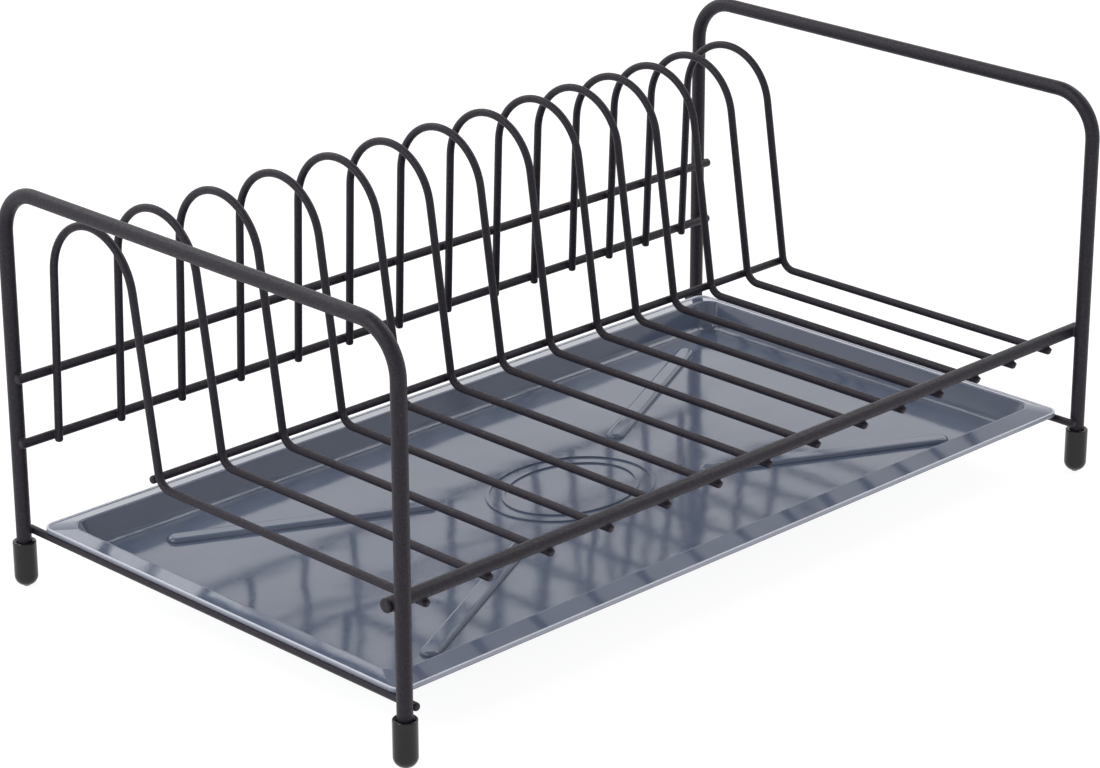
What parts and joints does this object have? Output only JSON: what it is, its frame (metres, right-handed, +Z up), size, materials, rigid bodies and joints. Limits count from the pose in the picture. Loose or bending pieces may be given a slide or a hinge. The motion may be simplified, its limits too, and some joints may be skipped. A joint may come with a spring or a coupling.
{
  "type": "dish drying rack",
  "caption": "Wire dish drying rack: two bent end frames, long rails, a row of arched plate hoops, capped feet and a slide-out drip tray.",
  "frame": {"origin": "on the floor, under the middle of the rack", "axes": "+X along the rack to the right, -Y to the front where the dishes lean out and the tray pulls out, +Z up"},
  "size_m": [0.4241, 0.247, 0.1802],
  "materials": {
    "coated_wire": "satin black powder coating, finely textured",
    "foot_vinyl": "glossy soft dipped vinyl",
    "tray_plastic": "smooth glossy moulded polystyrene, blue grey"
  },
  "bodies": {
    "rack": {"left_end_frame": "coated_wire", "right_end_frame": "coated_wire", "rear_upper_rail": "coated_wire", "rear_lower_rail": "coated_wire", "seat_rail": "coated_wire", "front_rail": "coated_wire", "left_tray_runner": "coated_wire", "right_tray_runner": "coated_wire", "plate_hoop_01": "coated_wire", "plate_hoop_02": "coated_wire", "plate_hoop_03": "coated_wire", "plate_hoop_04": "coated_wire", "plate_hoop_05": "coated_wire", "plate_hoop_06": "coated_wire", "plate_hoop_07": "coated_wire", "plate_hoop_08": "coated_wire", "plate_hoop_09": "coated_wire", "plate_hoop_10": "coated_wire", "plate_hoop_11": "coated_wire", "plate_hoop_12": "coated_wire", "plate_hoop_13": "coated_wire", "plate_hoop_14": "coated_wire", "foot_cap_front_left": "foot_vinyl", "foot_cap_rear_left": "foot_vinyl", "foot_cap_front_right": "foot_vinyl", "foot_cap_rear_right": "foot_vinyl"},
    "tray": {"drip_tray": "tray_plastic"}
  },
  "joints": [
    {"name": "tray_slide", "type": "slide", "parent": "rack", "child": "tray", "axis": [0, -1, 0], "range_m": [0, 0.235]}
  ]
}
